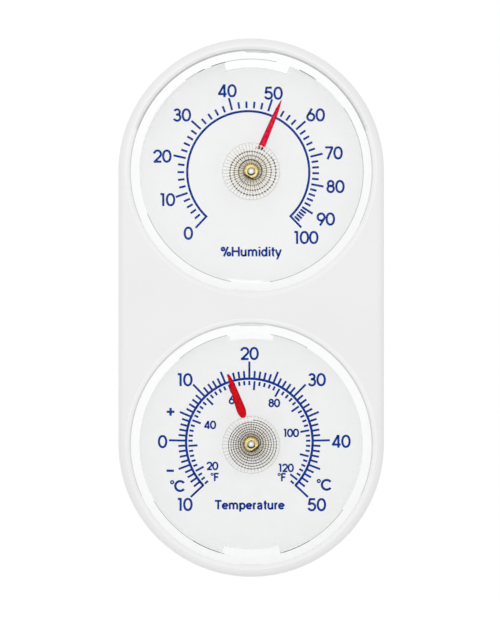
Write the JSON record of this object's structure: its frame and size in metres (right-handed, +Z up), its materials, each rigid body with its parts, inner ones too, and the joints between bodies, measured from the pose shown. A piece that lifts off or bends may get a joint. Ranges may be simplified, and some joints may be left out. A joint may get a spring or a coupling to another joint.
{
  "type": "dial thermo-hygrometer",
  "caption": "Wall-hung white case with round ends, a humidity dial above a temperature dial behind clear windows, each with a coil-driven red pointer.",
  "frame": {"origin": "on the wall plane behind the instrument, midway between the two dials", "axes": "+Z up the wall, from the temperature dial to the humidity dial; +Y into the wall, so the dials face -Y; +X to the viewer's right"},
  "size_m": [0.072, 0.0197, 0.146],
  "materials": {
    "case_plastic": "white moulded, fine satin gloss",
    "cover_plastic": "white moulded, matte",
    "screw_steel": "plated steel",
    "dial_white": "white, printed in navy",
    "clear_window": "clear moulded plastic",
    "post_steel": "turned steel",
    "spring_steel": "blued spring steel",
    "washer_brass": "spring brass",
    "hub_brass": "turned and knurled",
    "coil_metal": "rolled strip",
    "swelling_layer": "fine matte coating",
    "crimson_pointer": "crimson enamel",
    "red_pointer": "red enamel"
  },
  "bodies": {
    "case": {"front_case": "case_plastic", "back_cover": "cover_plastic", "case_screws": "screw_steel", "hygrometer_dial": "dial_white", "hygrometer_window": "clear_window", "hygrometer_post": "post_steel", "hygrometer_clip": "spring_steel", "hygrometer_washer": "washer_brass", "thermometer_dial": "dial_white", "thermometer_window": "clear_window", "thermometer_post": "post_steel", "thermometer_clip": "spring_steel", "thermometer_washer": "washer_brass"},
    "hygrometer_movement": {"hygrometer_hub": "hub_brass", "humidity_coil": "coil_metal", "humidity_layer": "swelling_layer"},
    "hygrometer_hand": {"hygrometer_pointer": "crimson_pointer"},
    "thermometer_movement": {"thermometer_hub": "hub_brass", "temperature_coil": "coil_metal"},
    "thermometer_hand": {"thermometer_pointer": "red_pointer"}
  },
  "joints": [
    {"name": "hygrometer_adjust", "type": "hinge", "parent": "case", "child": "hygrometer_movement", "pos_m": [0, 0, 0.037], "axis": [0, 1, 0], "range_deg": [-20, 20]},
    {"name": "humidity_reading", "type": "hinge", "parent": "hygrometer_movement", "child": "hygrometer_hand", "pos_m": [0, 0, 0.037], "axis": [0, 1, 0], "range_deg": [-159.6, 113.2], "stiffness_Nm_per_rad": 0.0003, "deforming": ["humidity_coil", "humidity_layer"]},
    {"name": "thermometer_adjust", "type": "hinge", "parent": "case", "child": "thermometer_movement", "pos_m": [0, 0, -0.037], "axis": [0, 1, 0], "range_deg": [-20, 20]},
    {"name": "temperature_reading", "type": "hinge", "parent": "thermometer_movement", "child": "thermometer_hand", "pos_m": [0, 0, -0.037], "axis": [0, 1, 0], "range_deg": [-115.3, 151.3], "stiffness_Nm_per_rad": 0.0003, "deforming": ["temperature_coil"]}
  ]
}
